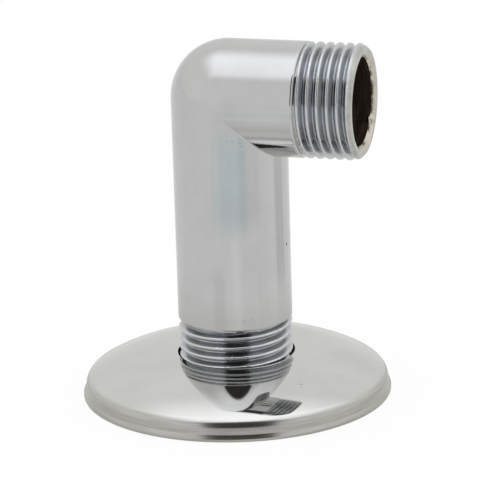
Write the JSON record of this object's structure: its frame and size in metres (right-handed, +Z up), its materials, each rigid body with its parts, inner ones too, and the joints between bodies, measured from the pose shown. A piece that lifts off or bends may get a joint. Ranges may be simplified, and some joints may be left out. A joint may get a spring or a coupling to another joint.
{
  "type": "wall outlet elbow",
  "caption": "Chrome-plated right-angle shower elbow with a male pipe thread at each end and a loose shallow domed wall flange that slides on the inlet leg.",
  "frame": {"origin": "on the inlet leg's axis, in the plane of the flange's lip and of the inlet end", "axes": "+Z up the inlet leg, away from the wall; +X along the outlet arm, towards the hose; +Y completes a right-handed frame"},
  "size_m": [0.057, 0.057, 0.0663],
  "materials": {
    "plated_body": "polished",
    "plated_flange": "polished"
  },
  "bodies": {
    "elbow": {"elbow_body": "plated_body"},
    "flange": {"wall_flange": "plated_flange"}
  },
  "joints": [
    {"name": "flange_slide", "type": "slide", "parent": "elbow", "child": "flange", "axis": [0, 0, 1], "range_m": [0, 0.0365]}
  ]
}
